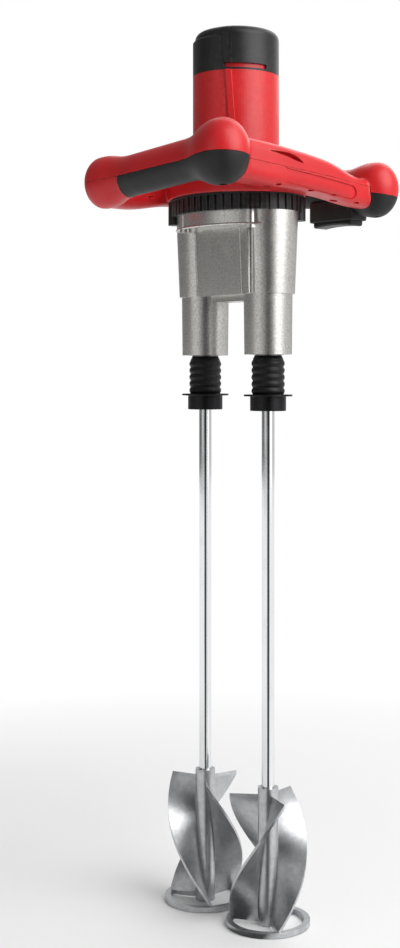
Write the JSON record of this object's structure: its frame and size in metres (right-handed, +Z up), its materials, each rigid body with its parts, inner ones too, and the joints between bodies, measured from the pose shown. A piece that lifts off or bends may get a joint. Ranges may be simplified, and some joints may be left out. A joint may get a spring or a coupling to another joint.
{
  "type": "twin-shaft mixing drill",
  "caption": "Hand-held electric mixing drill: upright motor over a ring of two grip bars, cast gearbox and paired counter-rotating mixing rods with quick-release couplings.",
  "frame": {"origin": "on the motor axis, at the height of the grips", "axes": "+Z up along the motor axis, X from the left grip to the right grip, Y along the grips with the front spindle at -Y"},
  "size_m": [0.2565, 0.226, 0.876],
  "materials": {
    "red_shell": "satin moulded, fine grain",
    "black_plastic": "matt moulded",
    "grip_pad": "soft-touch overmould",
    "cast_aluminium": "as cast, shot blasted",
    "soft_rubber": "moulded rubber",
    "coupling_sleeve": "black oxide",
    "bright_rod": "bright drawn",
    "plain_steel": "machined",
    "paddle_steel": "welded, zinc plated",
    "copper_alloy": "plain",
    "carbon": "pressed carbon"
  },
  "bodies": {
    "frame": {"upper_handle_shell": "red_shell", "lower_handle_shell": "red_shell", "left_grip_pad": "grip_pad", "right_grip_pad": "grip_pad", "motor_housing": "red_shell", "motor_end_cap": "black_plastic", "stator_core": "plain_steel", "field_windings": "copper_alloy", "bearing_bracket": "black_plastic", "motor_bearings": "plain_steel", "brush_holders": "black_plastic", "carbon_brushes": "carbon", "vent_collar": "black_plastic", "gearbox_housing": "cast_aluminium", "gear_plate": "cast_aluminium", "mid_plate": "cast_aluminium", "lay_bushes": "copper_alloy", "idler_pins": "plain_steel", "spindle_bushes": "copper_alloy", "spindle_bearings": "plain_steel", "oil_seals": "soft_rubber", "switch_body": "black_plastic", "trigger_spring": "plain_steel", "cable_gland": "soft_rubber", "handle_screws": "plain_steel", "gearbox_screws": "plain_steel"},
    "armature": {"armature_shaft": "plain_steel", "armature_core": "plain_steel", "commutator": "copper_alloy", "cooling_fan": "black_plastic", "motor_pinion": "plain_steel"},
    "lay_shaft": {"lay_shaft": "plain_steel", "lay_gear": "plain_steel", "lay_pinion": "plain_steel"},
    "front_idler": {"front_idler_gear": "plain_steel"},
    "rear_idler": {"rear_idler_gear": "plain_steel"},
    "front_spindle": {"front_spindle": "plain_steel", "drive_gear": "plain_steel", "front_output_gear": "plain_steel", "front_locking_balls": "plain_steel", "front_bellows": "soft_rubber", "front_coupling_spring": "plain_steel", "front_mixing_rod": "bright_rod", "front_mixing_paddle": "paddle_steel"},
    "rear_spindle": {"rear_spindle": "plain_steel", "rear_output_gear": "plain_steel", "rear_locking_balls": "plain_steel", "rear_bellows": "soft_rubber", "rear_coupling_spring": "plain_steel", "rear_mixing_rod": "bright_rod", "rear_mixing_paddle": "paddle_steel"},
    "front_sleeve": {"front_release_sleeve": "coupling_sleeve"},
    "rear_sleeve": {"rear_release_sleeve": "coupling_sleeve"},
    "trigger": {"trigger": "black_plastic"},
    "lock_button": {"lock_button": "black_plastic"}
  },
  "joints": [
    {"name": "front_spindle_spin", "type": "hinge", "parent": "frame", "child": "front_spindle", "pos_m": [0, -0.046, 0], "axis": [0, 0, 1], "continuous": true},
    {"name": "rear_spindle_spin", "type": "hinge", "parent": "frame", "child": "rear_spindle", "pos_m": [0, 0.046, 0], "axis": [0, 0, 1], "continuous": true},
    {"name": "front_idler_spin", "type": "hinge", "parent": "frame", "child": "front_idler", "pos_m": [0, -0.013, 0], "axis": [0, 0, 1], "continuous": true},
    {"name": "rear_idler_spin", "type": "hinge", "parent": "frame", "child": "rear_idler", "pos_m": [0, 0.013, 0], "axis": [0, 0, 1], "continuous": true},
    {"name": "lay_shaft_spin", "type": "hinge", "parent": "frame", "child": "lay_shaft", "pos_m": [0.01293, -0.02116, 0], "axis": [0, 0, 1], "continuous": true},
    {"name": "armature_spin", "type": "hinge", "parent": "frame", "child": "armature", "pos_m": [0, 0, 0], "axis": [0, 0, 1], "continuous": true},
    {"name": "front_sleeve_slide", "type": "slide", "parent": "front_spindle", "child": "front_sleeve", "axis": [0, 0, 1], "range_m": [0, 0.008], "stiffness_N_per_m": 900, "springref_m": -0.006, "deforming": ["front_bellows", "front_coupling_spring"]},
    {"name": "rear_sleeve_slide", "type": "slide", "parent": "rear_spindle", "child": "rear_sleeve", "axis": [0, 0, 1], "range_m": [0, 0.008], "stiffness_N_per_m": 900, "springref_m": -0.006, "deforming": ["rear_bellows", "rear_coupling_spring"]},
    {"name": "trigger_pull", "type": "slide", "parent": "frame", "child": "trigger", "axis": [0, 0, 1], "range_m": [0, 0.005], "stiffness_N_per_m": 700, "springref_m": -0.004, "deforming": ["trigger_spring"]},
    {"name": "lock_button_press", "type": "slide", "parent": "frame", "child": "lock_button", "axis": [-1, 0, 0], "range_m": [0, 0.003], "stiffness_N_per_m": 500, "springref_m": -0.002}
  ],
  "couplings": [
    {"joint": "rear_spindle_spin", "follows": "front_spindle_spin", "ratio": -1},
    {"joint": "front_idler_spin", "follows": "front_spindle_spin", "ratio": -1.5385},
    {"joint": "rear_idler_spin", "follows": "front_spindle_spin", "ratio": 1.5385},
    {"joint": "lay_shaft_spin", "follows": "front_spindle_spin", "ratio": -3.6667},
    {"joint": "armature_spin", "follows": "front_spindle_spin", "ratio": 15.278}
  ]
}
